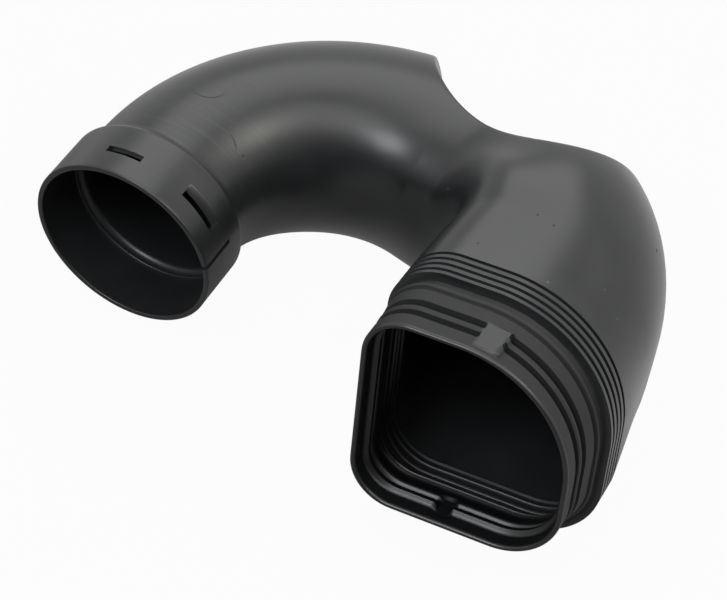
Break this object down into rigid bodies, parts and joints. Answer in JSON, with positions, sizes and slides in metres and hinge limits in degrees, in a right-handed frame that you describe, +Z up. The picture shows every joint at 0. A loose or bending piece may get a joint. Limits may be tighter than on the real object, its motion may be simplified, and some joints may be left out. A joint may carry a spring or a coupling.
{
  "type": "air intake hose",
  "caption": "Bent moulded air intake hose with a round slotted clamp collar, a scooped back and a ribbed D-shaped mouth.",
  "frame": {"origin": "on the ground under the middle of the hose's box, lying at rest", "axes": "+Z up, +X from the round collar towards the D-shaped mouth, both mouths facing -Y"},
  "size_m": [0.2704, 0.2046, 0.1185],
  "materials": {
    "hose_plastic": "black blow-moulded plastic, satin outside and darker inside"
  },
  "bodies": {
    "root": {"intake_hose": "hose_plastic"}
  },
  "joints": []
}
